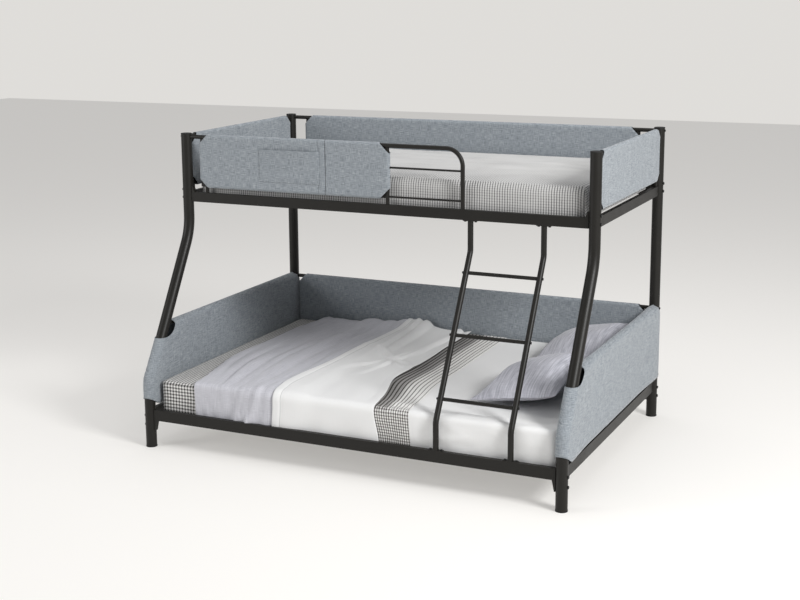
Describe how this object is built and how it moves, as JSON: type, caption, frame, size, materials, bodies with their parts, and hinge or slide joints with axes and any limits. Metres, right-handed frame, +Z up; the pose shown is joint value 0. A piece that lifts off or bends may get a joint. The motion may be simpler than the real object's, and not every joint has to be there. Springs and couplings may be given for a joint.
{
  "type": "metal bunk bed",
  "caption": "Low metal bunk bed with a narrow bunk over a wide bunk, a slanted ladder, padded fabric guard covers and made-up bedding.",
  "frame": {"origin": "on the floor, under the middle of the wide lower bunk", "axes": "+X along the bed towards the pillow end, +Y towards the wall side, +Z up; the ladder is on the -Y side"},
  "size_m": [2.04, 1.447, 1.413],
  "materials": {
    "black_metal": "satin powder coat",
    "black_bolts": "satin",
    "black_plastic": "matte",
    "cover_fabric": "heathered woven",
    "mattress_fabric": "checked cotton",
    "blanket_fabric": "washed linen",
    "pillow_fabric": "washed linen",
    "bed_linen": "plain cotton"
  },
  "bodies": {
    "frame": {"blanket": "blanket_fabric", "duvet": "bed_linen", "foot_caps": "black_plastic", "front_guard_bars": "black_metal", "front_guard_cover": "cover_fabric", "front_guard_tube": "black_metal", "front_guard_uprights": "black_metal", "front_left_post": "black_metal", "front_right_post": "black_metal", "guard_bolts": "black_bolts", "guard_pocket": "cover_fabric", "ladder_left_rail": "black_metal", "ladder_plate_screws": "black_bolts", "ladder_plates": "black_metal", "ladder_right_rail": "black_metal", "ladder_rungs": "black_metal", "lower_end_guard_bars": "black_metal", "lower_end_guard_tubes": "black_metal", "lower_front_rail": "black_metal", "lower_left_cover": "cover_fabric", "lower_left_end_rail": "black_metal", "lower_mattress": "mattress_fabric", "lower_middle_beam": "black_metal", "lower_rail_brackets": "black_metal", "lower_rear_cover": "cover_fabric", "lower_rear_guard_tubes": "black_metal", "lower_rear_guard_uprights": "black_metal", "lower_rear_rail": "black_metal", "lower_right_cover": "cover_fabric", "lower_right_end_rail": "black_metal", "lower_slat_ledges": "black_metal", "lower_slats": "black_metal", "post_caps": "black_plastic", "rail_bolts": "black_bolts", "rear_left_post": "black_metal", "rear_right_post": "black_metal", "rung_bolts": "black_bolts", "top_sheet": "bed_linen", "upper_end_guard_bars": "black_metal", "upper_end_guard_tubes": "black_metal", "upper_end_guard_uprights": "black_metal", "upper_front_rail": "black_metal", "upper_left_cover": "cover_fabric", "upper_left_end_rail": "black_metal", "upper_rail_brackets": "black_metal", "upper_rear_cover": "cover_fabric", "upper_rear_guard_bars": "black_metal", "upper_rear_guard_tube": "black_metal", "upper_rear_guard_uprights": "black_metal", "upper_rear_rail": "black_metal", "upper_right_cover": "cover_fabric", "upper_right_end_rail": "black_metal", "upper_slat_ledges": "black_metal", "upper_slats": "black_metal"},
    "upper_mattress": {"upper_mattress": "mattress_fabric"},
    "front_pillow": {"front_pillow": "pillow_fabric"},
    "rear_pillow": {"rear_pillow": "pillow_fabric"}
  },
  "joints": [
    {"name": "upper_mattress_lift", "type": "slide", "parent": "frame", "child": "upper_mattress", "axis": [0, 0, 1], "range_m": [0, 0.45]},
    {"name": "front_pillow_lift", "type": "slide", "parent": "frame", "child": "front_pillow", "axis": [0, 0, 1], "range_m": [0, 0.2]},
    {"name": "rear_pillow_lift", "type": "slide", "parent": "frame", "child": "rear_pillow", "axis": [0, 0, 1], "range_m": [0, 0.5]}
  ]
}
